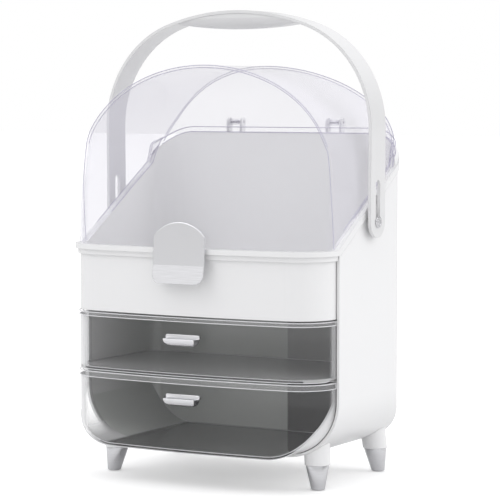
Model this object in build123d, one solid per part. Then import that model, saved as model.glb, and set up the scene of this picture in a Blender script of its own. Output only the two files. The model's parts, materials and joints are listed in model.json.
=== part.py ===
from build123d import *
import math
import os

# Makeup storage case: a U-shaped housing on four splayed feet, a drop-in top tray with a
# double-lip rim, two see-through drawers, a hinged arched dust cover and a carrying
# handle that swings on two side pins. Millimetres, +Z up, front towards -Y, origin on
# the floor under the middle of the whole object.

# ---------------------------------------------------------------- driving dimensions
front_edge_y = -47.4          # open front edge of the housing
case_depth = 143.0            # housing, from its front edge to the rear face
case_half = 140.0             # housing, middle to side
housing_wall = 2.5
under_radius = 55.0           # radius of the two long bottom edges
outline_inset = 3.2           # tray and drawer outline inside the housing's outer line
side_clearance = 0.7          # that outline to the housing's inner face
front_reach = 45.5            # front of the tray and drawers before the front edge
front_bow_radius = 900.0      # slight crown of the fronts
front_corner_radius = 36.0
rear_corner_radius = 26.8
rim_slope = 0.62              # rise of the housing's side edge towards the back
upstand_depth = 31.0          # raised back, from its front end to the rear face
upstand_run = 20.0            # its front end rises over this length
upstand_rise = 104.5          # rim seat at the raised back above the seat at the front
upstand_radius = 35.0

tray_gap = 1.8                # upper drawer to the tray's underside
tray_depth = 58.7             # underside to the rim seat at the front
tray_wall = 2.4
tray_fit = 0.15               # tray body inside its outline
rim_height = 5.0              # upper lip at the front and back
rim_side_height = 8.4         # upper lip up the sloping sides
rim_proud = 4.7               # upper lip outside the outline
lower_lip_height = 4.8
lower_lip_proud = 2.2

drawer_wall = 2.2
drawer_rear_gap = 27.0        # outer rear face of a drawer to the housing's rear face
drawer_rear_radius = 14.0
drawer_floor_gap = 0.6        # lower drawer above the housing's floor
lower_drawer_height = 69.7
drawer_gap = 2.2              # between the drawers
upper_drawer_height = 55.0
upper_drawer_corner = 3.0     # long bottom edges of the upper drawer
upper_rim_height = 3.4
upper_rim_proud = 1.3
lower_rim_height = 5.0
lower_rim_proud = 0.9
rim_setback = 1.2             # drawer rims and lower lip end this far before the housing
shelf_setback = 3.0
shelf_clearance = 0.3

foot_height = 23.1
foot_top_radius = 11.2
foot_tip_radius = 6.4
foot_splay_x = 2.2
foot_splay_y = 2.6
foot_side_inset = 28.5        # foot's axis inside the housing's side
front_foot_inset = 11.0
rear_foot_inset = 13.0
collar_height = 6.4           # foot's top to the underside of the housing
collar_rise = 30.0            # reach of the collar's cone above the foot's top
collar_radius = 11.9
collar_top_radius = 12.6
stud_radius = 3.0
stud_height = 7.5

cover_wall = 2.2
cover_gap = 0.4               # closed cover above the rim
cover_band_height = 5.0       # thicker band along the cover's lower edge
cover_band_proud = 0.9
cover_side_out = 0.1          # straight sides outside the tray outline
cover_spring_in = 0.5         # arch inside the tray outline where it begins
cover_leg_out = 2.7           # arch outside the tray outline at its foot
cover_under = 20.0            # form begins this far under the rim seat, and is cut by the rim line
cover_over = 4.7              # and ends this far above the arch
cover_spring_rise = 77.0      # arch begins this far above the rim seat
cover_rise = 175.3            # top of the arch above the rim seat
lean_start_rise = 2.0         # front panel leans back from here, above the rim seat
lean_radius = 445.0
rear_lean_drop = 65.3         # rear panel leans in from here, below the top of the arch
rear_lean_radius = 86.0
cover_bow_radius = 420.0      # crown of the front panel at the arch
cover_edge_radius = 20.0      # corner of the front panel at the arch
cover_blend_rise = 80.0       # corner and crown have changed over by here, above the rim seat
section_shares = (0.0, 0.35, 0.625, 0.825, 1.0)   # heights of the plan sections in the form

hinge_reach = 6.0             # hinge axis behind the housing's rear face
hinge_rise = 15.5             # hinge axis above the seat of the raised back
hinge_x = 56.75               # middle of each hinge
hinge_clear = 12.9            # between the two ears
ear_thickness = 2.4
ear_radius = 4.4
knuckle_gap = 0.4
knuckle_radius = 3.0
knuckle_bite = 1.6166         # knuckle webs start this deep in the rear panel
hinge_pin_radius = 1.5
running_clearance = 0.05
bracket_drop = 18.0           # bracket plate below the rim seat
bracket_thickness = 4.2
bracket_web_lift = 6.0        # ears begin this far above the plate's lower edge

tab_width = 55.5
tab_drop = 27.6               # tip below the rim seat
tab_crease_height = 17.2      # crease above the tip
tab_height = 57.4
tab_sheet = 2.0
tab_arch_rise = 13.0
tab_tip_radius = 9.0
tab_top_out = 7.9             # outer face before the front of the tray
tab_crease_out = 9.7
tab_tip_out = 13.1
tab_block_width = 34.0
tab_block_gap = 0.2           # block above the cover's lower band
tab_block_over = 6.0          # block past the shoulders of the arch
tab_bite = 1.0                # block into the sheet and the cover

pull_width = 33.6
pull_reach = 10.2
pull_sheet = 1.4
pull_corner = 7.2
pull_bar_over = 1.6
pull_bar_depth = 2.4
pull_bite = 1.0               # sides reach this far into the crowned front, and are cut by it
upper_pull_rise = 28.5        # underside of the pull above the drawer's
lower_pull_rise = 44.2
pull_lip_height = 7.8
pull_back_height = 11.2

handle_offset = 63.3          # handle plane behind the front edge
pin_rise = 28.2               # pins above the rim seat at the front
handle_gap = 4.4              # housing side to the band's inner face, at the pins
handle_spread = 0.4           # band's outer face where the arch begins, outside that at the pins
handle_straight = 13.8        # heights above the pins: end of the upright foot,
handle_spring = 87.8          # begin of the arch,
slot_rise = 39.3              # top of the slot,
handle_rise = 200.3           # top of the arch
handle_corner_radius = 105.0
handle_top_radius = 233.0
band_width = 29.4
band_thickness = 3.0
band_end_radius = 14.7
pin_radius = 4.2
pin_head_radius = 5.6
pin_head_height = 1.3
washer_radius = 7.6
play = 0.15                   # side play between band, washer and pin head
grip_half = 66.0
grip_depth = 15.0
grip_width = 28.4
grip_round = 1.4              # oval hand section past the grip's width

# ---------------------------------------------------------------- derived places
far = 500.0                   # reach of the cutting prisms, past every piece
far_corner = 1.0              # their corners there
half_width = case_half - outline_inset
front_y = front_edge_y - front_reach
rear_face_y = front_edge_y + case_depth
rear_y = rear_face_y - outline_inset
rim_outer_half = half_width + rim_proud
rim_rear_y = rear_y + rim_proud
upstand_y = rear_face_y - upstand_depth
drawer_rear_y = rear_face_y - drawer_rear_gap
foot_x = case_half - foot_side_inset
front_foot_y = front_edge_y + front_foot_inset
rear_foot_y = rear_face_y - rear_foot_inset

housing_base_z = foot_height + collar_height
inner_floor_z = housing_base_z + housing_wall
lower_drawer_base_z = inner_floor_z + drawer_floor_gap
lower_drawer_top_z = lower_drawer_base_z + lower_drawer_height
upper_drawer_base_z = lower_drawer_top_z + drawer_gap
upper_drawer_top_z = upper_drawer_base_z + upper_drawer_height
lower_corner_radius = under_radius - housing_wall - side_clearance
shelf_low_z = lower_drawer_top_z + shelf_clearance
shelf_high_z = upper_drawer_base_z - shelf_clearance
tray_base_z = upper_drawer_top_z + tray_gap
seat_front_z = tray_base_z + tray_depth
seat_rear_z = seat_front_z + upstand_rise

cover_half = half_width + cover_side_out
cover_spring_half = half_width - cover_spring_in
cover_leg_half = half_width + cover_leg_out
cover_foot_z = seat_front_z - cover_under
cover_spring_z = seat_front_z + cover_spring_rise
cover_top_z = seat_front_z + cover_rise
lean_start_z = seat_front_z + lean_start_rise
rear_lean_start_z = cover_top_z - rear_lean_drop
cover_blend_z = seat_front_z + cover_blend_rise
hinge_y = rear_face_y + hinge_reach
hinge_z = seat_rear_z + hinge_rise
tab_tip_z = seat_front_z - tab_drop
tab_crease_z = tab_tip_z + tab_crease_height
tab_top_z = tab_tip_z + tab_height
upper_pull_z = upper_drawer_base_z + upper_pull_rise
lower_pull_z = lower_drawer_base_z + lower_pull_rise

handle_y = front_edge_y + handle_offset
handle_foot_half = case_half + handle_gap + band_thickness
handle_half = handle_foot_half + handle_spread
pin_z = seat_front_z + pin_rise
handle_straight_z = pin_z + handle_straight
handle_spring_z = pin_z + handle_spring
handle_top_z = pin_z + handle_rise
slot_top_z = pin_z + slot_rise
band_low_z = pin_z - 1.2 * band_end_radius


# ---------------------------------------------------------------- shared outlines
def plan_face(half, front, rear, bow, front_r, rear_r):
    """Plan outline: crowned front, rounded corners, straight sides and rear."""
    corner_x = half - front_r
    corner_y = front + bow - math.sqrt((bow - front_r) ** 2 - corner_x ** 2)
    angle = math.atan2(corner_y - front - bow, corner_x)
    tip = (corner_x + front_r * math.cos(angle), corner_y + front_r * math.sin(angle))
    mid = (corner_x + front_r * math.cos(angle / 2), corner_y + front_r * math.sin(angle / 2))
    turn = rear_r * (1 - math.sqrt(0.5))
    return make_face([
        ThreePointArc((-tip[0], tip[1]), (0, front), tip),
        ThreePointArc(tip, mid, (half, corner_y)),
        Line((half, corner_y), (half, rear - rear_r)),
        ThreePointArc((half, rear - rear_r), (half - turn, rear - turn), (half - rear_r, rear)),
        Line((half - rear_r, rear), (rear_r - half, rear)),
        ThreePointArc((rear_r - half, rear), (turn - half, rear - turn), (-half, rear - rear_r)),
        Line((-half, rear - rear_r), (-half, corner_y)),
        ThreePointArc((-half, corner_y), (-mid[0], mid[1]), (-tip[0], tip[1])),
    ])


def outline_block(offset, low, high, rear=rear_y, rear_r=rear_corner_radius):
    """The tray and drawer outline, grown by offset, as a block between two heights."""
    face = plan_face(half_width + offset, front_y - offset, rear + offset, front_bow_radius + offset,
                     front_corner_radius + offset, rear_r + offset)
    return extrude(Pos(0, 0, low) * face, high - low)


def front_view_block(outline, y_from, y_to):
    """An outline of (x, z) edges as a block between two depths."""
    face = make_face(outline)
    return extrude(Plane((0, y_to, 0), x_dir=(1, 0, 0), z_dir=(0, -1, 0)) * face, y_to - y_from)


def side_view_block(points, x_from=-far, x_to=far):
    """A polygon of (y, z) points as a block between two widths."""
    return side_view_form(Polyline(*points, close=True), x_from, x_to)


def side_view_form(outline, x_from, x_to):
    """A closed outline of (y, z) edges as a block between two widths."""
    face = make_face(outline)
    return extrude(Plane((x_from, 0, 0), x_dir=(0, 1, 0), z_dir=(1, 0, 0)) * face, x_to - x_from)


def rounded_outline(half, low, high, low_r, high_r):
    """Upright outline with its own bottom and top corner radii."""
    b = low_r * (1 - math.sqrt(0.5))
    t = high_r * (1 - math.sqrt(0.5))
    return [
        Line((low_r - half, low), (half - low_r, low)),
        ThreePointArc((half - low_r, low), (half - b, low + b), (half, low + low_r)),
        Line((half, low + low_r), (half, high - high_r)),
        ThreePointArc((half, high - high_r), (half - t, high - t), (half - high_r, high)),
        Line((half - high_r, high), (high_r - half, high)),
        ThreePointArc((high_r - half, high), (t - half, high - t), (-half, high - high_r)),
        Line((-half, high - high_r), (-half, low + low_r)),
        ThreePointArc((-half, low + low_r), (b - half, low + b), (low_r - half, low)),
    ]


def below_rim(lift, side_lift):
    """Everything under the rim line: level front, rising sides, raised rounded back."""
    level = seat_front_z + lift
    start = seat_front_z + side_lift - rim_slope * far
    slope = side_view_block([(front_edge_y - far, start), (front_edge_y + far, start + 2 * rim_slope * far),
                             (front_edge_y + far, -far), (front_edge_y - far, -far)])
    slope -= Pos(0, 0, seat_rear_z + far / 2 - rim_height) * Box(3 * far, 3 * far, far)
    front = Pos(0, 0, level - far / 2) * Box(2 * far, 2 * far, far)
    half = rim_outer_half - rim_height + lift + 0.1
    back = rounded_outline(half, 0, seat_rear_z + lift, far_corner, upstand_radius + lift)
    start = upstand_y - lift
    foot_z = seat_rear_z - 2 * upstand_run
    profile = side_view_block([(start, -far), (start, foot_z), (start + upstand_run, seat_rear_z + lift),
                               (far, seat_rear_z + lift + 1), (far, -far)])
    return slope + front + (front_view_block(back, -far, far) & profile)


def before(y):
    """The half space in front of a depth."""
    return Pos(0, y - far / 2, 0) * Box(2 * far, far, 4 * far)


def behind(y):
    """The half space behind a depth."""
    return Pos(0, y + far / 2, 0) * Box(2 * far, far, 4 * far)


def sideways(radius, x_from, x_to, y, z):
    """A round bar across the case between two widths."""
    return Pos((x_from + x_to) / 2, y, z) * Rot(0, 90, 0) * Cylinder(radius, x_to - x_from)


def mirrored(part):
    """The same piece on the other side of the case."""
    return mirror(part, Plane.YZ)


# ---------------------------------------------------------------- case pieces
def housing_outer():
    """Outer form of the housing, before it is hollowed."""
    outline = rounded_outline(case_half, housing_base_z, far, under_radius, far_corner)
    return outline_block(outline_inset, 0, far) & front_view_block(outline, front_edge_y, far)


def make_housing():
    """U-shaped shell with closed back, sloping side edges and bores for the handle pins."""
    inner = rounded_outline(half_width + side_clearance, inner_floor_z, far,
                            under_radius - housing_wall, far_corner)
    hollow = outline_block(side_clearance, 0, far) & front_view_block(inner, -far, far)
    shell = (housing_outer() - hollow) & below_rim(0, 0)
    return shell - sideways(pin_radius, -far, far, handle_y, pin_z)


def make_shelf():
    """Shelf between the two drawers, held by the housing's sides and back."""
    slab = outline_block(side_clearance, shelf_low_z, shelf_high_z) & behind(front_edge_y + shelf_setback)
    return slab


def make_tray():
    """Drop-in tray: deep pan, upper lip on the housing's edge, lower lip across the front."""
    under = below_rim(0, 0)
    upto = below_rim(rim_height, rim_side_height)
    pan = outline_block(-tray_fit, tray_base_z, far)
    lip = outline_block(rim_proud, tray_base_z, far) - under
    low = seat_front_z - lower_lip_height
    lower_lip = outline_block(lower_lip_proud, low, seat_front_z) & before(front_edge_y - rim_setback)
    tray = ((pan + lip) & upto) + lower_lip
    return tray - outline_block(-tray_wall, tray_base_z + tray_wall, far)


def make_collar(y, toward_front):
    """Tapered collar between a foot and the rounded underside of the housing."""
    lean = collar_rise / foot_height
    low = Pos(foot_x, y, foot_height) * Circle(collar_radius)
    high = Pos(foot_x - foot_splay_x * lean, y + toward_front * foot_splay_y * lean, foot_height + collar_rise)
    body = loft([low, high * Circle(collar_top_radius)], ruled=True) & outline_block(outline_inset, 0, far)
    body -= housing_outer()
    bore = Pos(foot_x, y, foot_height + stud_height / 2) * Cylinder(stud_radius, stud_height)
    return body - bore


def make_foot(y, toward_front):
    """Splayed tapered foot with the stud that holds it in its collar."""
    tip = Pos(foot_x + foot_splay_x, y - toward_front * foot_splay_y, 0) * Circle(foot_tip_radius)
    top = Pos(foot_x, y, foot_height) * Circle(foot_top_radius)
    stud = Pos(foot_x, y, foot_height + stud_height / 2) * Cylinder(stud_radius, stud_height)
    return loft([tip, top], ruled=True) + stud


def make_bracket():
    """Hinge bracket on the back of the rim: plate and two ears."""
    low = seat_rear_z - bracket_drop
    face = rim_rear_y
    half = hinge_clear / 2 + ear_thickness
    high = seat_rear_z + rim_height
    back = rear_face_y + bracket_thickness
    body = side_view_block([(rear_face_y, low), (rear_face_y, seat_rear_z), (face, seat_rear_z),
                            (face, high), (back, high), (back, low)], hinge_x - half, hinge_x + half)
    for x in (hinge_x - half, hinge_x + half - ear_thickness):
        web = side_view_block([(face, low + bracket_web_lift), (face, high), (hinge_y - ear_radius, hinge_z),
                               (hinge_y + ear_radius, hinge_z), (back, low + bracket_web_lift)],
                              x, x + ear_thickness)
        body += web + sideways(ear_radius, x, x + ear_thickness, hinge_y, hinge_z)
    return body - sideways(hinge_pin_radius, hinge_x - half, hinge_x + half, hinge_y, hinge_z)


def make_hinge_pin():
    """Pin through both ears and the cover's knuckle."""
    half = hinge_clear / 2 + ear_thickness
    return sideways(hinge_pin_radius, hinge_x - half, hinge_x + half, hinge_y, hinge_z)


def make_handle_pin():
    """Pivot pin: shank through the housing side and the slot, low head outside."""
    head_x = handle_foot_half + play
    shank = sideways(pin_radius, case_half - housing_wall, head_x, handle_y, pin_z)
    head = sideways(pin_head_radius, head_x, head_x + pin_head_height, handle_y, pin_z)
    rim = head.faces().sort_by(Axis.X)[-1].edges()
    return shank + fillet(rim, pin_head_height / 2)


def make_washer():
    """Spacer disc between the housing side and the band."""
    edge = case_half + handle_gap - play
    disc = sideways(washer_radius, case_half, edge, handle_y, pin_z)
    return disc - sideways(pin_radius, case_half, edge, handle_y, pin_z)


# ---------------------------------------------------------------- cover
def arc_lean(radius, rise):
    """How far a panel that curves in by a radius has come in at a rise above its start."""
    return radius - math.sqrt(radius ** 2 - max(0.0, rise) ** 2)


def cover_section(offset, z):
    """Plan of the cover at a height: the front and rear panels lean in as they rise."""
    lean = arc_lean(lean_radius, z - lean_start_z)
    rear_lean = arc_lean(rear_lean_radius, z - rear_lean_start_z)
    blend = min(1.0, max(0.0, (z - lean_start_z) / (cover_blend_z - lean_start_z)))
    bow = 1 / ((1 - blend) / front_bow_radius + blend / cover_bow_radius)
    corner = front_corner_radius + blend * (cover_edge_radius - front_corner_radius)
    face = plan_face(cover_half + offset, front_y + lean - offset, rear_y - rear_lean + offset,
                     bow + offset, corner + offset, rear_corner_radius + offset)
    return Pos(0, 0, z) * face


def cover_form(offset):
    """Solid form of the cover: arch across the case, bulged front and rear panels."""
    height = cover_top_z + cover_over - cover_foot_z
    dome = loft([cover_section(offset, cover_foot_z + share * height) for share in section_shares])
    half, foot = cover_spring_half + offset, cover_leg_half + offset
    rise = cover_top_z + offset - cover_spring_z
    arch = [
        Line((-foot, cover_foot_z), (foot, cover_foot_z)),
        Line((foot, cover_foot_z), (half, cover_spring_z)),
        EllipticalCenterArc((0, cover_spring_z), half, rise, 0, arc_size=90),
        EllipticalCenterArc((0, cover_spring_z), half, rise, 90, arc_size=90),
        Line((-half, cover_spring_z), (-foot, cover_foot_z)),
    ]
    return dome & front_view_block(arch, -far / 2, far / 2)


def make_cover():
    """Clear dust cover with the two hinge knuckles on its rear panel."""
    outer = cover_form(0)
    inner = cover_form(-cover_wall)
    low, side_low = rim_height + cover_gap, rim_side_height + cover_gap
    band = outline_block(cover_band_proud, cover_foot_z, far) - outline_block(-cover_wall / 2, cover_foot_z, far)
    band &= below_rim(low + cover_band_height, side_low + cover_band_height)
    shell = (outer - inner) + band - below_rim(low, side_low)
    half = hinge_clear / 2 - knuckle_gap
    root_y = rear_y - arc_lean(rear_lean_radius, hinge_z - rear_lean_start_z) - knuckle_bite
    for x in (hinge_x, -hinge_x):
        web = side_view_block([(root_y, hinge_z - knuckle_radius), (hinge_y, hinge_z - knuckle_radius / 2),
                               (hinge_y, hinge_z + knuckle_radius / 2), (root_y, hinge_z + knuckle_radius)],
                              x - half, x + half)
        barrel = sideways(knuckle_radius, x - half, x + half, hinge_y, hinge_z)
        bore = sideways(hinge_pin_radius + running_clearance, x - half, x + half, hinge_y, hinge_z)
        shell = shell + ((web - inner) + barrel) - bore
    return shell


def make_tab():
    """Finger tab: arched flat plate, crease, flared lip, and the block that joins the cover."""
    outer = [(front_y - tab_top_out, tab_top_z), (front_y - tab_crease_out, tab_crease_z),
             (front_y - tab_tip_out, tab_tip_z)]
    inner = [(y + tab_sheet, z) for y, z in reversed(outer)]
    sheet = side_view_block(outer + inner)
    half = tab_width / 2
    turn = tab_tip_radius * (1 - math.sqrt(0.5))
    shoulder = tab_top_z - tab_arch_rise
    outline = [
        Line((half, tab_tip_z + tab_tip_radius), (half, shoulder)),
        ThreePointArc((half, shoulder), (0, tab_top_z), (-half, shoulder)),
        Line((-half, shoulder), (-half, tab_tip_z + tab_tip_radius)),
        ThreePointArc((-half, tab_tip_z + tab_tip_radius), (turn - half, tab_tip_z + turn),
                      (tab_tip_radius - half, tab_tip_z)),
        Line((tab_tip_radius - half, tab_tip_z), (half - tab_tip_radius, tab_tip_z)),
        ThreePointArc((half - tab_tip_radius, tab_tip_z), (half - turn, tab_tip_z + turn),
                      (half, tab_tip_z + tab_tip_radius)),
    ]
    plate = sheet & front_view_block(outline, -far / 2, 0)
    low = seat_front_z + rim_height + cover_gap + cover_band_height + tab_block_gap
    high = shoulder + tab_block_over
    near, deep = front_y - tab_top_out + tab_bite, front_y + tab_bite
    block = side_view_block([(near, low), (deep, low), (deep, high), (near, high)],
                            -tab_block_width / 2, tab_block_width / 2)
    return plate + (block - cover_form(0))


# ---------------------------------------------------------------- drawers
def drawer_body(low, high, corner, rim, proud):
    """Open-topped see-through drawer with a rim around its front."""
    def block(offset, z_from, z_to, radius):
        plan = outline_block(offset, z_from, z_to, drawer_rear_y, drawer_rear_radius)
        view = rounded_outline(half_width + offset, z_from, far, radius, far_corner)
        return plan & front_view_block(view, -far, far)

    body = block(0, low, high, corner)
    lip = outline_block(proud, high - rim, high, drawer_rear_y, drawer_rear_radius)
    body += lip & before(front_edge_y - rim_setback)
    return body - block(-drawer_wall, low + drawer_wall, far, corner - drawer_wall)


def make_pull(z):
    """Scoop pull: half-moon lip curling back under to the drawer, slim bar along its back edge."""
    back = front_y + pull_bite
    lip_z = z + pull_lip_height
    top_z = z + pull_back_height

    def scoop(inset, high):
        reach, depth = pull_reach + pull_bite - inset, pull_lip_height - inset
        side = side_view_form([
            EllipticalCenterArc((back, lip_z), reach, depth, 180, arc_size=90),
            Line((back, lip_z - depth), (back, high)),
            Line((back, high), (back - reach, high)),
            Line((back - reach, high), (back - reach, lip_z)),
        ], -pull_width, pull_width) if high > lip_z else side_view_form([
            EllipticalCenterArc((back, lip_z), reach, depth, 180, arc_size=90),
            Line((back, lip_z - depth), (back, lip_z)),
            Line((back, lip_z), (back - reach, lip_z)),
        ], -pull_width, pull_width)
        half = pull_width / 2 - inset
        moon = rounded_outline(half, z + inset, top_z + pull_width, pull_corner - inset, far_corner)
        return side & front_view_block(moon, -far / 2, 0)

    bowl = scoop(0, lip_z) - scoop(pull_sheet, top_z + pull_back_height)
    bar_half = pull_width / 2 + pull_bar_over
    bar = rounded_outline(bar_half, lip_z - pull_sheet / 2, top_z, pull_sheet, pull_sheet)
    bowl += front_view_block(bar, front_y - pull_bar_depth, back)
    return bowl - outline_block(0, 0, far)


# ---------------------------------------------------------------- handle
def band_edge(inset):
    """One face of the arched band as edges from the right foot to the left foot."""
    corner_r, top_r = handle_corner_radius - inset, handle_top_radius - inset
    top_y = handle_top_z - handle_top_radius
    cx = handle_half - handle_corner_radius
    lean = math.atan2(handle_spring_z - top_y, cx)
    join = (top_r * math.cos(lean), top_y + top_r * math.sin(lean))
    mid = (cx + corner_r * math.cos(lean / 2), handle_spring_z + corner_r * math.sin(lean / 2))
    foot = handle_foot_half - inset
    return [
        Line((foot, band_low_z), (foot, handle_straight_z)),
        Line((foot, handle_straight_z), (handle_half - inset, handle_spring_z)),
        ThreePointArc((handle_half - inset, handle_spring_z), mid, join),
        ThreePointArc(join, (0, top_y + top_r), (-join[0], join[1])),
        ThreePointArc((-join[0], join[1]), (-mid[0], mid[1]), (inset - handle_half, handle_spring_z)),
        Line((inset - handle_half, handle_spring_z), (-foot, handle_straight_z)),
        Line((-foot, handle_straight_z), (-foot, band_low_z)),
    ]


def make_band():
    """Arched band with round ends and a long slot over each pin."""
    inner = handle_foot_half - band_thickness
    feet = [Line((s * handle_foot_half, band_low_z), (s * inner, band_low_z)) for s in (1, -1)]
    arch = front_view_block(band_edge(0) + band_edge(band_thickness) + feet,
                            handle_y - band_width / 2, handle_y + band_width / 2)
    round_end = sideways(band_end_radius, -far, far, handle_y, pin_z)
    above = Pos(0, handle_y, pin_z + far / 2) * Box(2 * far, band_width, far)
    slot_r = pin_radius + running_clearance
    slot = sideways(slot_r, -far, far, handle_y, pin_z)
    slot += sideways(slot_r, -far, far, handle_y, slot_top_z - slot_r)
    length = slot_top_z - slot_r - pin_z
    slot += Pos(0, handle_y, pin_z + length / 2) * Box(2 * far, 2 * slot_r, length)
    return (arch & (round_end + above)) - slot


def make_grip():
    """Lens-shaped hand grip under the top of the band."""
    top_r = handle_top_radius - band_thickness
    centre_z = handle_top_z - handle_top_radius
    end_z = centre_z + math.sqrt(top_r ** 2 - grip_half ** 2)
    low_z = handle_top_z - band_thickness - grip_depth
    lens = front_view_block([
        ThreePointArc((grip_half, end_z), (0, centre_z + top_r), (-grip_half, end_z)),
        ThreePointArc((-grip_half, end_z), (0, low_z), (grip_half, end_z)),
    ], handle_y - grip_width / 2, handle_y + grip_width / 2)
    oval = Ellipse(grip_depth + band_thickness, grip_width / 2 + grip_round)
    hand = Pos(-grip_half, handle_y, handle_top_z) * Rot(0, 90, 0) * oval
    return lens & extrude(hand, 2 * grip_half)


# ---------------------------------------------------------------- all pieces
def all_parts():
    """Every piece under its name."""
    parts = {
        "housing": make_housing(),
        "divider_shelf": make_shelf(),
        "top_tray": make_tray(),
        "cover": make_cover(),
        "cover_tab": make_tab(),
        "handle_band": make_band(),
        "handle_grip": make_grip(),
        "drawer_upper": drawer_body(upper_drawer_base_z, upper_drawer_top_z, upper_drawer_corner,
                                    upper_rim_height, upper_rim_proud),
        "drawer_lower": drawer_body(lower_drawer_base_z, lower_drawer_top_z, lower_corner_radius,
                                    lower_rim_height, lower_rim_proud),
        "pull_upper": make_pull(upper_pull_z),
        "pull_lower": make_pull(lower_pull_z),
    }
    feet = {"front": (front_foot_y, 1), "rear": (rear_foot_y, -1)}
    right = {"hinge_bracket": make_bracket(), "hinge_pin": make_hinge_pin(),
             "handle_pin": make_handle_pin(), "handle_washer": make_washer()}
    for row, (y, toward) in feet.items():
        right["foot_" + row] = make_foot(y, toward)
        right["collar_" + row] = make_collar(y, toward)
    for name, part in right.items():
        parts[name + "_right"] = part
        parts[name + "_left"] = mirrored(part)
    return parts


os.makedirs("parts", exist_ok=True)
for name, part in all_parts().items():
    export_step(part, "parts/" + name + ".step")
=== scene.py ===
import json
import logging
import math
from dataclasses import dataclass, field
from enum import Enum
from typing import Callable

import bpy
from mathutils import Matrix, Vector


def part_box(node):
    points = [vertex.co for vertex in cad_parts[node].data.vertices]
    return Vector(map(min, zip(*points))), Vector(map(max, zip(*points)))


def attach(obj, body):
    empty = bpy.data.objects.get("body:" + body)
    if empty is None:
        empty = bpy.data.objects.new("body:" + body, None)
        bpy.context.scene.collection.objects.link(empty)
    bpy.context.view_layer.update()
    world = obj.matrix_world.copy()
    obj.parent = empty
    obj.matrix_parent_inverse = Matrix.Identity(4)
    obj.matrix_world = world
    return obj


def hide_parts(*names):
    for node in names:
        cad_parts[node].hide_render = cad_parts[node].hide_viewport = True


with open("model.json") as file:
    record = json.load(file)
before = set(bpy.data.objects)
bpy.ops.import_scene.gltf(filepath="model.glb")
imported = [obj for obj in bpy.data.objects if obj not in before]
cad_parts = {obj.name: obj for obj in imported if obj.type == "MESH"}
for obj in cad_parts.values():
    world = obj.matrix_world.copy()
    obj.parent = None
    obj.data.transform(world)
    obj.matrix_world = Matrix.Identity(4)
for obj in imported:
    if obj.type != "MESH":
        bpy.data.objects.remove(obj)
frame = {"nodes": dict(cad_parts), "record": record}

logging.basicConfig(level=logging.INFO, format="%(message)s")
LOG = logging.getLogger("case")
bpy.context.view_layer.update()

MM = 0.001
CLOSE = 0.1 * MM       # vertices this near a flat end belong to it, before its edge is rounded
TIGHT = 0.01 * MM      # and after; doubles closer than this are merged
Colour = tuple[float, float, float, float]


def grey(level: float, blue: float = 0.0) -> Colour:
    """A neutral linear colour, a little bluer by blue."""
    return (level, level, level + blue, 1.0)


# ---------------------------------------------------------------- node helpers
class Tree:
    """A node tree with short calls for adding and joining nodes."""

    def __init__(self, tree: bpy.types.NodeTree) -> None:
        """Wraps the node tree of a material, group or world."""
        self.tree = tree

    def add(self, kind: str, **inputs: object) -> bpy.types.Node:
        """Adds a node and sets its inputs and properties.

        Args:
            kind: the node's type name.
            inputs: socket values, written with _ for a space, or node properties.

        Returns:
            The new node.
        """
        node = self.tree.nodes.new(kind)
        for key, value in inputs.items():
            name = key.replace("_", " ")
            if name in node.inputs:
                self.feed(node.inputs[name], value)
            else:
                setattr(node, key, value)
        return node

    def link(self, out: bpy.types.NodeSocket, into: bpy.types.NodeSocket) -> None:
        """Joins two sockets."""
        self.tree.links.new(out, into)

    def feed(self, into: bpy.types.NodeSocket, value: object) -> None:
        """Links a socket into another, or sets a plain value on it.

        Args:
            into: the input socket.
            value: an output socket, or the input's value.
        """
        if isinstance(value, bpy.types.NodeSocket):
            self.link(value, into)
        else:
            into.default_value = value

    def math(self, operation: str, a: object, b: object) -> bpy.types.NodeSocket:
        """Adds a Math node.

        Args:
            operation: Blender's name of the operation.
            a: first value or socket.
            b: second value or socket.

        Returns:
            The result's socket.
        """
        node = self.add("ShaderNodeMath", operation=operation)
        for socket, value in zip(node.inputs, (a, b)):
            self.feed(socket, value)
        return node.outputs[0]

    def step(self, value: bpy.types.NodeSocket, low: float, high: float,
             to_low: float = 0.0, to_high: float = 1.0) -> bpy.types.NodeSocket:
        """Smoothly maps a value from one range to another.

        Args:
            value: the socket that is mapped.
            low: value that gives to_low.
            high: value that gives to_high.
            to_low: result at low.
            to_high: result at high.

        Returns:
            The result's socket.
        """
        node = self.add("ShaderNodeMapRange", interpolation_type="SMOOTHSTEP", Value=value,
                        From_Min=low, From_Max=high, To_Min=to_low, To_Max=to_high)
        return node.outputs[0]

    def mix(self, factor: object, a: object, b: object) -> bpy.types.NodeSocket:
        """Mixes two colours.

        Args:
            factor: value or socket, 0 gives a.
            a: colour or socket.
            b: colour or socket.

        Returns:
            The mixed colour's socket.
        """
        node = self.add("ShaderNodeMix", data_type="RGBA")
        for index, value in ((0, factor), (6, a), (7, b)):    # 6 and 7 are its colour inputs
            self.feed(node.inputs[index], value)
        return node.outputs[2]


GroupFill = Callable[[Tree, bpy.types.Node, bpy.types.Node], None]


def group(name: str, inputs: dict[str, float], outputs: tuple[str, ...],
          fill: GroupFill) -> bpy.types.NodeTree:
    """Makes a shared node group once.

    Args:
        name: the group's name.
        inputs: its number inputs and their start values.
        outputs: names of its number outputs.
        fill: adds the group's nodes between its input and output nodes.

    Returns:
        The group.
    """
    if name in bpy.data.node_groups:
        return bpy.data.node_groups[name]
    made = bpy.data.node_groups.new(name, "ShaderNodeTree")
    for key, value in inputs.items():
        socket = made.interface.new_socket(key, in_out="INPUT", socket_type="NodeSocketFloat")
        socket.default_value = value
    for key in outputs:
        made.interface.new_socket(key, in_out="OUTPUT", socket_type="NodeSocketFloat")
    fill(Tree(made), made.nodes.new("NodeGroupInput"), made.nodes.new("NodeGroupOutput"))
    return made


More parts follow.
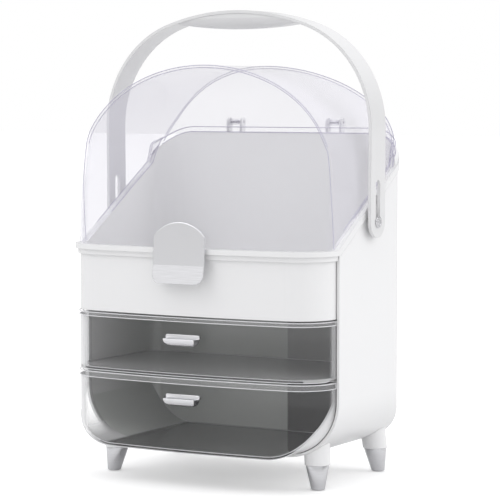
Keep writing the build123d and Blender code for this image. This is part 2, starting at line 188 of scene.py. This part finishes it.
def moulded_skin() -> bpy.types.NodeTree:
    """Skin of injection moulded plastic: faint flow and fine grain.

    Returns:
        The group, with outputs Shade, Rough and Height.
    """
    calm, busy = 0.3, 0.7                   # range of the noise that is used
    darkest, lightest = 0.994, 1.0
    smoother, rougher = -0.006, 0.008       # added to a finish's roughness
    flow_height, grain_height = 0.1, 0.01

    def fill(t: Tree, enter: bpy.types.Node, leave: bpy.types.Node) -> None:
        """Adds the two noises and what they drive.

        Args:
            t: the group's tree.
            enter: its input node.
            leave: its output node.
        """
        place = t.add("ShaderNodeTexCoord").outputs["Object"]
        flow = t.add("ShaderNodeTexNoise", Vector=place, Scale=enter.outputs["Flow Scale"],
                     Detail=3.0).outputs["Fac"]
        grain = t.add("ShaderNodeTexNoise", Vector=place, Scale=enter.outputs["Grain Scale"],
                      Detail=2.0).outputs["Fac"]
        t.link(t.step(flow, calm, busy, darkest, lightest), leave.inputs["Shade"])
        t.link(t.step(flow, calm, busy, smoother, rougher), leave.inputs["Rough"])
        t.link(t.math("ADD", t.math("MULTIPLY", flow, flow_height),
                      t.math("MULTIPLY", grain, grain_height)), leave.inputs["Height"])

    return group("moulded_skin", {"Flow Scale": 9.0, "Grain Scale": 900.0},
                 ("Shade", "Rough", "Height"), fill)


# ---------------------------------------------------------------- finishes
@dataclass(frozen=True)
class Finish:
    """Base of every finish: a named procedural material."""

    name: str
    colour: Colour
    roughness: float
    edge_round: float = 0.7 * MM

    def material(self) -> bpy.types.Material:
        """Makes the material once.

        Returns:
            The material.
        """
        name = self.name + "_finish"
        if name in bpy.data.materials:
            return bpy.data.materials[name]
        made = bpy.data.materials.new(name)
        made.use_nodes = True
        self.dress(Tree(made.node_tree), made.node_tree.nodes["Principled BSDF"])
        return made

    def rounding(self, t: Tree) -> bpy.types.NodeSocket:
        """Normal that rounds hard edges by a fraction of a millimetre."""
        return t.add("ShaderNodeBevel", samples=4, Radius=self.edge_round).outputs["Normal"]

    def dress(self, t: Tree, shader: bpy.types.Node) -> None:
        """Sets the shader up; each kind of finish has its own."""
        raise NotImplementedError


@dataclass(frozen=True)
class Moulding(Finish):
    """Base of the plastics, which share the moulded skin."""

    flow_scale: float = 9.0
    grain_scale: float = 900.0

    def skin(self, t: Tree, shader: bpy.types.Node) -> bpy.types.Node:
        """Adds the moulded skin and the roughness that varies with it.

        Args:
            t: the material's tree.
            shader: its Principled shader.

        Returns:
            The skin's group node.
        """
        skin = t.add("ShaderNodeGroup", node_tree=moulded_skin(),
                     Flow_Scale=self.flow_scale, Grain_Scale=self.grain_scale)
        t.link(t.math("ADD", skin.outputs["Rough"], self.roughness), shader.inputs["Roughness"])
        return skin

    def tinted_skin(self, t: Tree, shader: bpy.types.Node) -> bpy.types.Node:
        """Adds the moulded skin in the finish's own colour.

        Args:
            t: the material's tree.
            shader: its Principled shader.

        Returns:
            The skin's group node.
        """
        skin = self.skin(t, shader)
        shade = t.mix(skin.outputs["Shade"], grey(0.0), self.colour)
        t.link(shade, shader.inputs["Base Color"])
        return skin


@dataclass(frozen=True)
class MouldedPlastic(Moulding):
    """Opaque glossy or satin moulded plastic."""

    coat: float = 0.3
    coat_roughness: float = 0.08
    bump: float = 0.02
    bump_depth: float = 2.0 * MM

    def dress(self, t: Tree, shader: bpy.types.Node) -> None:
        """Plastic with a faint flow pattern and fine grain under a thin gloss.

        Args:
            t: the material's tree.
            shader: its Principled shader.
        """
        skin = self.tinted_skin(t, shader)
        shader.inputs["Coat Weight"].default_value = self.coat
        shader.inputs["Coat Roughness"].default_value = self.coat_roughness
        bump = t.add("ShaderNodeBump", Height=skin.outputs["Height"], Strength=self.bump,
                     Distance=self.bump_depth, Normal=self.rounding(t))
        t.link(bump.outputs["Normal"], shader.inputs["Normal"])


@dataclass(frozen=True)
class ClearSheet(Moulding):
    """See-through plastic sheet, more visible at grazing angles."""

    facing: float = 0.085
    grazing: float = 0.25
    start: float = 0.12
    full: float = 0.85
    light_share: float = 0.25

    def by_angle(self, t: Tree) -> bpy.types.NodeSocket:
        """Alpha that rises from facing to grazing with the angle of sight.

        Args:
            t: the material's tree.

        Returns:
            The alpha's socket.
        """
        weight = t.add("ShaderNodeLayerWeight", Blend=0.5).outputs["Facing"]
        return t.step(weight, self.start, self.full, self.facing, self.grazing)

    def passing(self, t: Tree, alpha: bpy.types.NodeSocket) -> bpy.types.NodeSocket:
        """Lets light pass a clear wall more easily than sight does, by light_share.

        Args:
            t: the material's tree.
            alpha: how solid the wall looks.

        Returns:
            The alpha's socket.
        """
        rays = t.add("ShaderNodeLightPath")
        light = t.math("MAXIMUM", rays.outputs["Is Shadow Ray"], rays.outputs["Is Diffuse Ray"])
        return t.math("MULTIPLY", alpha, t.step(light, 0.0, 1.0, 1.0, self.light_share))

    def dress(self, t: Tree, shader: bpy.types.Node) -> None:
        """Faintly tinted clear plastic.

        Args:
            t: the material's tree.
            shader: its Principled shader.
        """
        self.tinted_skin(t, shader)
        t.link(self.passing(t, self.by_angle(t)), shader.inputs["Alpha"])


@dataclass(frozen=True, kw_only=True)
class SmokedTub(ClearSheet):
    """Drawer moulding: clear front wall and rim, grey sides, back and floor; painted shade on the
    floor and right of a line, painted light on the left wall near the front, painted sheen on the
    front corners.
    """

    facing: float = 0.03
    # nearly opaque at grazing angles: with the pale clear colour this paints a sheen of reflected
    # light on the front corners
    grazing: float = 0.97
    start: float = 0.38
    full: float = 0.74
    light_share: float = 0.6
    # pale clear colour of the front and rim; at grazing angles it paints a sheen on the front corners
    clear: Colour = (0.80, 0.80, 0.81, 1.0)
    # painted light: the left wall lighter near the front
    left: Colour = grey(0.75)
    # painted shade: the back wall and floor right of the shade line
    right: Colour
    # painted shade on the floor
    floor: Colour
    front_y: float = -92.9 * MM
    bow_radius: float = 900.0 * MM
    wall: float = 3.4 * MM
    wall_blend: float = 1.2 * MM
    corner_y: float = -46.5 * MM
    corner_blend: float = 1.0 * MM
    side_x: float = 134.0 * MM
    side_blend: float = 1.0 * MM
    # the painted light on the left wall has faded out by here
    left_fade_y: float = 60.0 * MM
    # where the painted shade begins, right of the middle
    shade_x: float = 21.5 * MM
    shade_blend: float = 2.0 * MM
    floor_z: float
    floor_rise: float = 2.4 * MM
    floor_blend: float = 1.0 * MM
    rim_z: float
    rim_blend: float = 0.2 * MM
    rim_alpha: float = 0.13
    body_alpha: float = 0.93

    def dress(self, t: Tree, shader: bpy.types.Node) -> None:
        """Splits the tub into front with both corners, side walls, back, floor and rim, and paints
        shade and light on them.

        Args:
            t: the material's tree.
            shader: its Principled shader.
        """
        place = t.add("ShaderNodeSeparateXYZ", Vector=t.add("ShaderNodeTexCoord").outputs["Object"])
        x, y, z = (place.outputs[axis] for axis in "XYZ")
        bow = t.math("DIVIDE", t.math("MULTIPLY", x, x), 2 * self.bow_radius)
        depth = t.math("SUBTRACT", t.math("SUBTRACT", y, self.front_y), bow)
        floor_top = self.floor_z + self.floor_rise
        low = t.step(z, floor_top, floor_top + self.floor_blend, 1.0, 0.0)
        floor = t.math("MULTIPLY", low, t.step(depth, self.wall, self.wall + self.wall_blend))
        rear = t.step(y, self.corner_y - self.corner_blend, self.corner_y)
        inside = t.math("MAXIMUM", floor, rear)
        # painted shade: the back wall and floor darker right of the shade line
        shaded = t.step(x, self.shade_x, self.shade_x + self.shade_blend)
        body = t.mix(shaded, self.colour, self.right)
        # painted light: the left wall lighter near the front, fading towards the back
        fade = t.step(y, self.corner_y, self.left_fade_y)
        beside = t.step(x, -self.side_x, self.side_blend - self.side_x, 1.0, 0.0)
        body = t.mix(beside, body, t.mix(fade, self.left, self.colour))
        # painted shade: the floor darker than the walls
        body = t.mix(floor, body, self.floor)
        rim = t.step(z, self.rim_z - self.rim_blend, self.rim_z + self.rim_blend)
        tinted = t.math("MULTIPLY", inside, t.math("SUBTRACT", 1.0, rim))
        t.link(t.mix(tinted, self.clear, body), shader.inputs["Base Color"])
        self.skin(t, shader)
        alpha = t.add("ShaderNodeMapRange", Value=inside, To_Min=self.by_angle(t),
                      To_Max=self.body_alpha).outputs[0]
        whole = t.add("ShaderNodeMapRange", Value=rim, To_Min=alpha,
                      To_Max=self.rim_alpha).outputs[0]
        t.link(self.passing(t, whole), shader.inputs["Alpha"])


@dataclass(frozen=True)
class EdgeLineAndHighlight(Moulding):
    """Edge of a clear moulding, where the sheet gathers light: a pale opaque line, partly the real
    edge and partly painted highlight.
    """

    alpha: float = 0.8

    def dress(self, t: Tree, shader: bpy.types.Node) -> None:
        """Pale glossy edge, partly painted highlight."""
        self.tinted_skin(t, shader)
        shader.inputs["Alpha"].default_value = self.alpha


@dataclass(frozen=True)
class SatinMetal(Finish):
    """Plated metal with fine drawn lines."""

    lines: float = 0.05
    line_shade: float = 0.94
    stretch: tuple[float, float, float] = (30.0, 30.0, 900.0)

    def dress(self, t: Tree, shader: bpy.types.Node) -> None:
        """Plating whose colour and gloss follow faint drawn lines.

        Args:
            t: the material's tree.
            shader: its Principled shader.
        """
        calm, busy = 0.3, 0.7
        place = t.add("ShaderNodeTexCoord").outputs["Object"]
        along = t.add("ShaderNodeMapping", Vector=place, Scale=self.stretch).outputs[0]
        drawn = t.add("ShaderNodeTexNoise", Vector=along, Scale=2.0, Detail=3.0).outputs["Fac"]
        darker = (*(c * self.line_shade for c in self.colour[:3]), 1.0)
        t.link(t.mix(t.step(drawn, calm, busy), self.colour, darker), shader.inputs["Base Color"])
        shader.inputs["Metallic"].default_value = 1.0
        gloss = t.step(drawn, calm, busy, self.roughness - self.lines, self.roughness + self.lines)
        t.link(gloss, shader.inputs["Roughness"])
        t.link(self.rounding(t), shader.inputs["Normal"])


class Look(Enum):
    """Finishes, most of them by the record's material slot."""

    WHITE_SHELL = MouldedPlastic("white_shell", grey(0.84, 0.005), 0.28)
    WHITE_INNER = MouldedPlastic("white_inner", grey(0.62), 0.35)
    WHITE_TRAY = MouldedPlastic("white_tray", grey(0.82, 0.005), 0.26)
    WHITE_HANDLE = MouldedPlastic("white_handle", grey(0.73, 0.005), 0.32)
    CLEAR_COVER = ClearSheet("clear_cover", (0.70, 0.68, 0.78, 1.0), 0.05)
    SILVER = SatinMetal("silver", grey(0.86, 0.02), 0.22)
    STEEL_PIN = SatinMetal("steel_pin", grey(0.70, 0.02), 0.25)
    SILVER_FOOT = SatinMetal("silver_foot", grey(0.74, 0.02), 0.2)


class Line(Enum):
    """Edge lines of the clear mouldings, partly the real edges and partly painted highlight."""

    COVER = EdgeLineAndHighlight("cover_edge_and_highlight", (0.60, 0.58, 0.70, 1.0), 0.1, alpha=0.75)
    DRAWER = EdgeLineAndHighlight("drawer_edge_and_highlight", grey(0.86, 0.02), 0.1)


# ---------------------------------------------------------------- studio
@dataclass(frozen=True)
class Lamp:
    """Soft square area light: angles in degrees as for the camera, metres and watts."""

    name: str
    azimuth: float
    elevation: float
    distance: float
    size: float
    power: float


@dataclass
class Studio:
    """Plain pale floor, soft lights and the camera at the photograph's angle."""

    azimuth: float = 30.0
    elevation: float = 4.0
    distance: float = 2.2
    target: tuple[float, float, float] = (0.0094, 0.0146, 0.2172)
    lens: float = 163.27
    sensor: float = 36.0
    clip_start: float = 0.05
    lamps: tuple[Lamp, ...] = (Lamp("key", -35, 50, 2.4, 1.6, 9), Lamp("side", 110, 25, 2.4, 1.4, 11))
    floor_size: float = 30.0
    floor_drop: float = 0.5 * MM
    floor_roughness: float = 0.9
    floor_colour: Colour = grey(0.8)
    floor_glow: float = 0.33
    sky_low: Colour = grey(0.61)
    sky_high: Colour = grey(1.04, 0.01)
    sky_range: tuple[float, float] = (-0.05, 0.45)
    flag_azimuth: float = 30.0
    flag_colour: Colour = grey(0.28)
    flag_range: tuple[float, float] = (0.6, 0.95)

    def aim(self, azimuth: float, elevation: float,
            distance: float) -> dict[str, Vector | tuple[float, float, float]]:
        """Place and turn of a camera or light that looks at the target.

        Args:
            azimuth: degrees round the object from its front, to the right.
            elevation: degrees above the horizontal.
            distance: metres from the target.

        Returns:
            The location and rotation for an add operator.
        """
        a, e = math.radians(azimuth), math.radians(elevation)
        back = Vector((math.sin(a) * math.cos(e), -math.cos(a) * math.cos(e), math.sin(e)))
        return {"location": Vector(self.target) + distance * back,
                "rotation": (math.radians(90 - elevation), 0, a)}

    def camera(self) -> None:
        """Adds the camera."""
        bpy.ops.object.camera_add(**self.aim(self.azimuth, self.elevation, self.distance))
        camera = bpy.context.object
        camera.data.lens = self.lens
        camera.data.sensor_width = self.sensor
        camera.data.clip_start = self.clip_start
        bpy.context.scene.camera = camera

    def light(self, lamp: Lamp) -> None:
        """Adds a soft area light aimed at the target.

        Args:
            lamp: its name, place, size and power.
        """
        bpy.ops.object.light_add(type="AREA", **self.aim(lamp.azimuth, lamp.elevation, lamp.distance))
        made = bpy.context.object
        made.name = lamp.name
        made.data.size = lamp.size
        made.data.energy = lamp.power

    def floor(self) -> None:
        """Adds the pale floor, white to the camera."""
        bpy.ops.mesh.primitive_plane_add(size=self.floor_size, location=(0, 0, -self.floor_drop))
        plane = bpy.context.object
        plane.name = "floor"
        made = bpy.data.materials.new("floor")
        made.use_nodes = True
        t = Tree(made.node_tree)
        shader = made.node_tree.nodes["Principled BSDF"]
        shader.inputs["Base Color"].default_value = self.floor_colour
        shader.inputs["Roughness"].default_value = self.floor_roughness
        shader.inputs["Emission Color"].default_value = grey(1.0)
        ray = t.add("ShaderNodeLightPath").outputs["Is Camera Ray"]
        t.link(t.math("MULTIPLY", ray, self.floor_glow), shader.inputs["Emission Strength"])
        plane.data.materials.append(made)

    def world(self) -> None:
        """Pale surroundings, darker below, with a grey flag on one side for glossy surfaces."""
        scene = bpy.context.scene
        scene.world = scene.world or bpy.data.worlds.new("studio")
        scene.world.use_nodes = True
        tree = scene.world.node_tree
        t = Tree(tree)
        background = tree.nodes.get("Background") or t.add("ShaderNodeBackground")
        rays = t.add("ShaderNodeLightPath")
        sight = t.add("ShaderNodeTexCoord").outputs["Generated"]
        height = t.add("ShaderNodeSeparateXYZ", Vector=sight).outputs["Z"]
        sky = t.mix(t.step(height, *self.sky_range), self.sky_low, self.sky_high)
        across = t.add("ShaderNodeVectorMath", operation="DOT_PRODUCT")
        turn = math.radians(self.flag_azimuth)
        t.feed(across.inputs[0], sight)
        t.feed(across.inputs[1], (math.cos(turn), math.sin(turn), 0.0))
        flag = t.step(across.outputs["Value"], *self.flag_range)
        seen = t.math("MULTIPLY", flag, rays.outputs["Is Glossy Ray"])
        shaded = t.mix(seen, sky, self.flag_colour)
        white = t.mix(rays.outputs["Is Camera Ray"], shaded, grey(1.0))
        t.link(white, background.inputs["Color"])
        background.inputs["Strength"].default_value = 1.0
        out = tree.nodes.get("World Output") or t.add("ShaderNodeOutputWorld")
        t.link(background.outputs[0], out.inputs["Surface"])
        scene.view_settings.view_transform = "Standard"

    def build(self) -> None:
        """Sets the whole studio up."""
        self.world()
        self.floor()
        for lamp in self.lamps:
            self.light(lamp)
        self.camera()
        LOG.info("studio ready")


# ---------------------------------------------------------------- modelled pieces
@dataclass
class Piece:
    """A finished piece: its mesh, the body it rides on and the CAD node it stands for."""

    node: str
    body: str = "case"
    slot: str = "silver"
    smooth: float = 35.0
    look: Look | None = None
    obj: bpy.types.Object | None = field(default=None, init=False)

    def focus(self, obj: bpy.types.Object) -> None:
        """Makes an object the only selected and the active one.

        Args:
            obj: the object to work on.
        """
        bpy.ops.object.select_all(action="DESELECT")
        obj.select_set(True)
        bpy.context.view_layer.objects.active = obj

    def edit(self) -> None:
        """Opens the active object in edit mode with nothing selected."""
        bpy.ops.object.mode_set(mode="EDIT")
        bpy.ops.mesh.select_all(action="DESELECT")

    def pick(self, test: Callable[[Vector], bool], mode: str = "VERT") -> None:
        """Selects the elements whose vertices all pass a test, in edit mode.

        Args:
            test: tells of a vertex position in world space.
            mode: VERT, EDGE or FACE.
        """
        bpy.ops.object.mode_set(mode="OBJECT")
        mesh, place = self.obj.data, self.obj.matrix_world
        for vertex in mesh.vertices:
            vertex.select = test(place @ vertex.co)
        for element in (*mesh.edges, *mesh.polygons):
            element.select = all(mesh.vertices[i].select for i in element.vertices)
        bpy.ops.object.mode_set(mode="EDIT")
        bpy.ops.mesh.select_mode(type=mode)

    def round_off(self, offset: float, segments: int = 3) -> None:
        """Rounds the selected edges."""
        bpy.ops.mesh.bevel(offset=offset, segments=segments, affect="EDGES")

    def inset(self, width: float, rise: float = 0.0) -> None:
        """Insets the selected faces by a width and raises or sinks them."""
        bpy.ops.mesh.inset(thickness=width, depth=rise)

    def shape(self) -> None:
        """Models the piece; each kind has its own."""
        raise NotImplementedError

    def dress(self) -> None:
        """Gives the piece its finish."""
        self.obj.data.materials.clear()
        self.obj.data.materials.append((self.look or Look[self.slot.upper()]).value.material())

    def build(self) -> bpy.types.Object:
        """Models, finishes and seats the piece.

        Returns:
            The finished object.
        """
        self.shape()
        self.focus(self.obj)
        bpy.ops.object.transform_apply(location=True, rotation=True, scale=True)
        bpy.ops.object.shade_smooth_by_angle(angle=math.radians(self.smooth))
        self.obj.name = self.obj.data.name = "visual_" + self.node
        self.dress()
        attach(self.obj, self.body)
        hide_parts(self.node)
        LOG.info("piece %s: %d faces", self.obj.name, len(self.obj.data.polygons))
        return self.obj


@dataclass
class Foot(Piece):
    """Splayed silver foot: rounded sole edge, sunk sole, rounded shoulder and stud."""

    look: Look = Look.SILVER_FOOT
    side: int = 1
    toward: int = 1
    axis_x: float = 111.5 * MM
    axis_y: float = -36.4 * MM
    height: float = 23.1 * MM
    top_radius: float = 11.2 * MM
    tip_radius: float = 6.4 * MM
    splay_x: float = 2.2 * MM
    splay_y: float = 2.6 * MM
    sole_round: float = 0.8 * MM
    sole_border: float = 1.2 * MM
    sole_sink: float = 0.5 * MM
    shoulder_round: float = 0.5 * MM
    stud_radius: float = 3.0 * MM
    stud_height: float = 7.4 * MM
    facets: int = 64

    def shape(self) -> None:
        """A cone whose tip is moved outward, with bevels, a sunk sole and the stud on top."""
        bpy.ops.mesh.primitive_cone_add(
            vertices=self.facets, radius1=self.tip_radius, radius2=self.top_radius,
            depth=self.height, location=(self.side * self.axis_x, self.axis_y, self.height / 2))
        self.obj = bpy.context.object
        self.edit()
        self.pick(lambda p: p.z < CLOSE)
        bpy.ops.transform.translate(
            value=(self.side * self.splay_x, -self.toward * self.splay_y, 0))
        self.round_off(self.sole_round)
        self.pick(lambda p: p.z < TIGHT, "FACE")
        self.inset(self.sole_border)
        self.inset(self.sole_sink, -self.sole_sink)
        self.pick(lambda p: p.z > self.height - CLOSE)
        self.round_off(self.shoulder_round, 2)
        self.pick(lambda p: p.z > self.height - TIGHT, "FACE")
        self.inset(self.top_radius - self.shoulder_round - self.stud_radius)
        bpy.ops.mesh.extrude_region_move(
            TRANSFORM_OT_translate={"value": (0, 0, self.stud_height)})
        bpy.ops.object.mode_set(mode="OBJECT")


@dataclass
class PivotPin(Piece):
    """Handle pivot pin: shank, low rounded head and a shallow ring round its middle."""

    slot: str = "steel_pin"
    side: int = 1
    inner_x: float = 137.5 * MM
    head_x: float = 147.55 * MM
    head_height: float = 1.3 * MM
    head_radius: float = 5.6 * MM
    head_round: float = 0.55 * MM
    ring_border: float = 1.1 * MM
    ring_slope: float = 0.3 * MM
    ring_depth: float = 0.45 * MM
    ring_width: float = 1.0 * MM
    boss_slope: float = 0.4 * MM
    boss_rise: float = 0.4 * MM
    shank_radius: float = 4.2 * MM
    place_y: float = 15.9 * MM
    place_z: float = 248.2 * MM
    facets: int = 48

    def shape(self) -> None:
        """A low cylinder with a sunk ring outside and the shank drawn out of its inner face."""
        outer = self.head_x + self.head_height
        middle = (self.head_x + outer) / 2
        bpy.ops.mesh.primitive_cylinder_add(
            vertices=self.facets, radius=self.head_radius, depth=self.head_height,
            location=(self.side * middle, self.place_y, self.place_z),
            rotation=(0, self.side * math.pi / 2, 0))
        self.obj = bpy.context.object
        self.edit()
        self.pick(lambda p: abs(p.x) > outer - CLOSE)
        self.round_off(self.head_round)
        self.pick(lambda p: abs(p.x) > outer - TIGHT, "FACE")
        self.inset(self.ring_border)
        self.inset(self.ring_slope, -self.ring_depth)
        self.inset(self.ring_width)
        self.inset(self.boss_slope, self.boss_rise)
        self.pick(lambda p: abs(p.x) < self.head_x + CLOSE, "FACE")
        self.inset(self.head_radius - self.shank_radius)
        bpy.ops.mesh.extrude_region_move(
            TRANSFORM_OT_translate={"value": (self.side * (self.inner_x - self.head_x), 0, 0)})
        bpy.ops.object.mode_set(mode="OBJECT")


@dataclass
class RoundedCopy(Piece):
    """A CAD piece with its hard edges rounded, as a merged copy."""

    width: float = 0.3 * MM
    angle: float = 40.0
    flat: float = 1.0

    def copied(self) -> bpy.types.Object:
        """A merged copy of the CAD node's mesh.

        Returns:
            The copy, open in edit mode.
        """
        source = frame["nodes"][self.node]
        copy = bpy.data.objects.new("copy_" + self.node, source.data.copy())
        bpy.context.scene.collection.objects.link(copy)
        self.focus(copy)
        bpy.ops.object.mode_set(mode="EDIT")
        bpy.ops.mesh.select_all(action="SELECT")
        bpy.ops.mesh.remove_doubles(threshold=TIGHT)
        return copy

    def shape(self) -> None:
        """Flat faces made whole again, then every hard edge bevelled."""
        self.obj = self.copied()
        bpy.ops.mesh.dissolve_limited(angle_limit=math.radians(self.flat))
        bpy.ops.object.mode_set(mode="OBJECT")
        soft = self.obj.modifiers.new("round", "BEVEL")
        soft.width, soft.segments, soft.limit_method = self.width, 2, "ANGLE"
        soft.angle_limit, soft.use_clamp_overlap = math.radians(self.angle), True
        bpy.ops.object.modifier_apply(modifier="round")


@dataclass
class EdgeBead(RoundedCopy):
    """Rounded edge lines of a clear moulding, laid along its hard edges: partly the real edges,
    partly painted highlight.
    """

    name: str = ""
    line: Line = Line.COVER
    radius: float = 0.45 * MM
    keep: Callable[[Vector], bool] = lambda p: True

    def thicken(self) -> None:
        """Turns the active curve into a thin round bead of mesh."""
        curve = bpy.context.object.data
        curve.bevel_depth, curve.bevel_resolution = self.radius, 1
        bpy.ops.object.convert(target="MESH")
        self.obj = bpy.context.object

    def shape(self) -> None:
        """Hard edges of a merged copy, turned into beads."""
        copy = self.copied()
        bpy.ops.mesh.select_all(action="DESELECT")
        bpy.ops.mesh.select_mode(type="EDGE")
        bpy.ops.mesh.edges_select_sharp(sharpness=math.radians(self.angle))
        bpy.ops.mesh.duplicate()
        bpy.ops.mesh.separate(type="SELECTED")
        bpy.ops.object.mode_set(mode="OBJECT")
        self.obj = next(o for o in bpy.context.selected_objects if o is not copy)
        bpy.data.objects.remove(copy, do_unlink=True)
        self.focus(self.obj)
        self.edit()
        self.pick(lambda p: not self.keep(p))
        bpy.ops.mesh.delete(type="VERT")
        bpy.ops.object.mode_set(mode="OBJECT")
        bpy.ops.object.convert(target="CURVE")
        self.thicken()

    def build(self) -> bpy.types.Object:
        """Models and seats the bead beside the CAD node, which stays.

        Returns:
            The finished object.
        """
        self.shape()
        bpy.ops.object.shade_smooth()
        self.obj.name = self.obj.data.name = self.name or "edge_" + self.node
        self.obj.data.materials.clear()
        self.obj.data.materials.append(self.line.value.material())
        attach(self.obj, self.body)
        LOG.info("edge %s: %d faces", self.obj.name, len(self.obj.data.polygons))
        return self.obj


def on_arch(p: Vector) -> bool:
    """Tells whether a point of the cover's hard edges is off its hinge knuckles and lower rim."""
    knuckle = p.y > 88.0 * MM and 45.0 * MM < abs(p.x) < 70.0 * MM
    return p.z > 240.0 * MM and not knuckle


@dataclass
class PaintedCornerHighlight(EdgeBead):
    """Painted highlight down one front corner of the cover, from the arch to the rim: a pale bead on
    the smooth rounded corner, which has no hard edge there.
    """

    side: int = 1
    half: float = 136.9 * MM
    front: float = -92.9 * MM
    foot_z: float = 226.5 * MM
    lean_z: float = 222.0 * MM
    lean_radius: float = 445.0 * MM
    blend_run: float = 78.0 * MM
    corner: tuple[float, float] = (36.0 * MM, 20.0 * MM)
    bow: tuple[float, float] = (900.0 * MM, 420.0 * MM)
    turn: float = 0.02
    arch_y: float = -40.0 * MM
    count: int = 8

    def corner_at(self, z: float) -> tuple[float, float, float, float]:
        """Plan of the rounded corner at a height.

        Args:
            z: height in metres.

        Returns:
            Middle x and y, radius, and the angle where the corner meets the crowned front.
        """
        share = min(1.0, max(0.0, (z - self.lean_z) / self.blend_run))
        radius = self.corner[0] + share * (self.corner[1] - self.corner[0])
        bow = 1 / ((1 - share) / self.bow[0] + share / self.bow[1])
        lean = self.lean_radius - math.sqrt(self.lean_radius ** 2 - (z - self.lean_z) ** 2)
        front = self.front + lean
        x = self.half - radius
        y = front + bow - math.sqrt((bow - radius) ** 2 - x ** 2)
        return x, y, radius, math.atan2(y - front - bow, x)

    def shape(self) -> None:
        """A short spline from the rim up the rounded corner to the end of the arch's edge, along
        which the painted highlight is laid.
        """
        bpy.ops.curve.primitive_nurbs_path_add()
        spline = bpy.context.object.data.splines[0]
        spline.points.add(self.count - len(spline.points))
        arch = (v.co for v in bpy.data.objects["edge_cover"].data.vertices)
        end = min((co for co in arch if co.y < self.arch_y and self.side * co.x > 0),
                  key=lambda co: co.z)
        x, y, radius, full = self.corner_at(end.z)
        last = math.atan2(end.y - y, self.side * end.x - x) / full
        for index, point in enumerate(spline.points):
            share = index / (self.count - 1)
            z = self.foot_z + share * (end.z - self.foot_z)
            x, y, radius, full = self.corner_at(z)
            angle = full * (self.turn + share ** 2 * (last - self.turn))
            point.co = (self.side * (x + radius * math.cos(angle)),
                        y + radius * math.sin(angle), z, 1.0)
        spline.order_u, spline.use_endpoint_u = 3, True
        # logs where the painted corner highlight ends
        LOG.info("corner line ends at %.4f %.4f %.4f, turn %.2f", *end, last)
        self.thicken()


@dataclass
class Case:
    """All modelled pieces of the storage case."""

    rear_foot_y: float = 82.6 * MM
    tab_round: float = 0.6 * MM
    tab_smooth: float = 7.0
    drawer_bead: float = 0.35 * MM

    def parts(self) -> list[Piece]:
        """The pieces by sub-assembly; the arch's bead comes before the painted corner highlights that
        end on it.

        Returns:
            The pieces in the order in which they are built.
        """
        # the cover's arch edge bead: partly the real edge, partly painted highlight
        made: list[Piece] = [EdgeBead("cover", "cover", "clear_cover", keep=on_arch)]
        for side, word in ((1, "right"), (-1, "left")):
            made += [Foot(f"foot_front_{word}", side=side),
                     Foot(f"foot_rear_{word}", side=side, toward=-1, axis_y=self.rear_foot_y),
                     PivotPin(f"handle_pin_{word}", side=side),
                     # painted highlights down the cover's front corners
                     PaintedCornerHighlight("cover", "cover", "clear_cover", name=f"edge_cover_{word}",
                                side=side)]
        made += [RoundedCopy("cover_tab", "cover", smooth=self.tab_smooth, width=self.tab_round),
                 RoundedCopy("pull_upper", "drawer_upper"),
                 RoundedCopy("pull_lower", "drawer_lower")]
        # drawer rim beads: partly the real edges, partly painted highlight
        made += [EdgeBead(drawer, drawer, "smoke_clear", line=Line.DRAWER, radius=self.drawer_bead)
                 for drawer in ("drawer_upper", "drawer_lower")]
        return made

    def build(self) -> None:
        """Builds every piece."""
        for piece in self.parts():
            piece.build()


# ---------------------------------------------------------------- CAD nodes
def tub(name: str, rim: float, right: float, floor: float) -> SmokedTub:
    """Finish of a drawer, split at its own heights.

    Args:
        name: the drawer's node.
        rim: height of its clear rim in metres.
        right: grey level of the painted shade right of the shade line.
        floor: grey level of its floor, darker as painted shade.

    Returns:
        The finish.
    """
    low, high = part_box(name)
    return SmokedTub("smoke_" + name, (0.62, 0.64, 0.62, 1.0), 0.08, right=grey(right),
                     floor=grey(floor), floor_z=low[2], rim_z=high[2] - rim)


def dress_frame() -> None:
    """Gives every CAD node the finish of its material slot."""
    slots = {s["node"]: s["material_slot"] for s in frame["record"]["subparts"]}
    # the lower drawer gets a darker right band and floor than the upper: painted shade on the same
    # smoked moulding
    tubs = {"drawer_upper": tub("drawer_upper", 3.4 * MM, 0.38, 0.44),
            "drawer_lower": tub("drawer_lower", 5.0 * MM, 0.10, 0.10)}
    for name, node in frame["nodes"].items():
        look = tubs.get(name) or Look[slots[name].upper()].value
        node.data.materials.clear()
        node.data.materials.append(look.material())
        LOG.info("finish %s on %s", look.name, name)


def main() -> None:
    """Builds the studio and dresses the case."""
    dress_frame()
    Case().build()
    Studio().build()


if __name__ == "__main__":
    main()
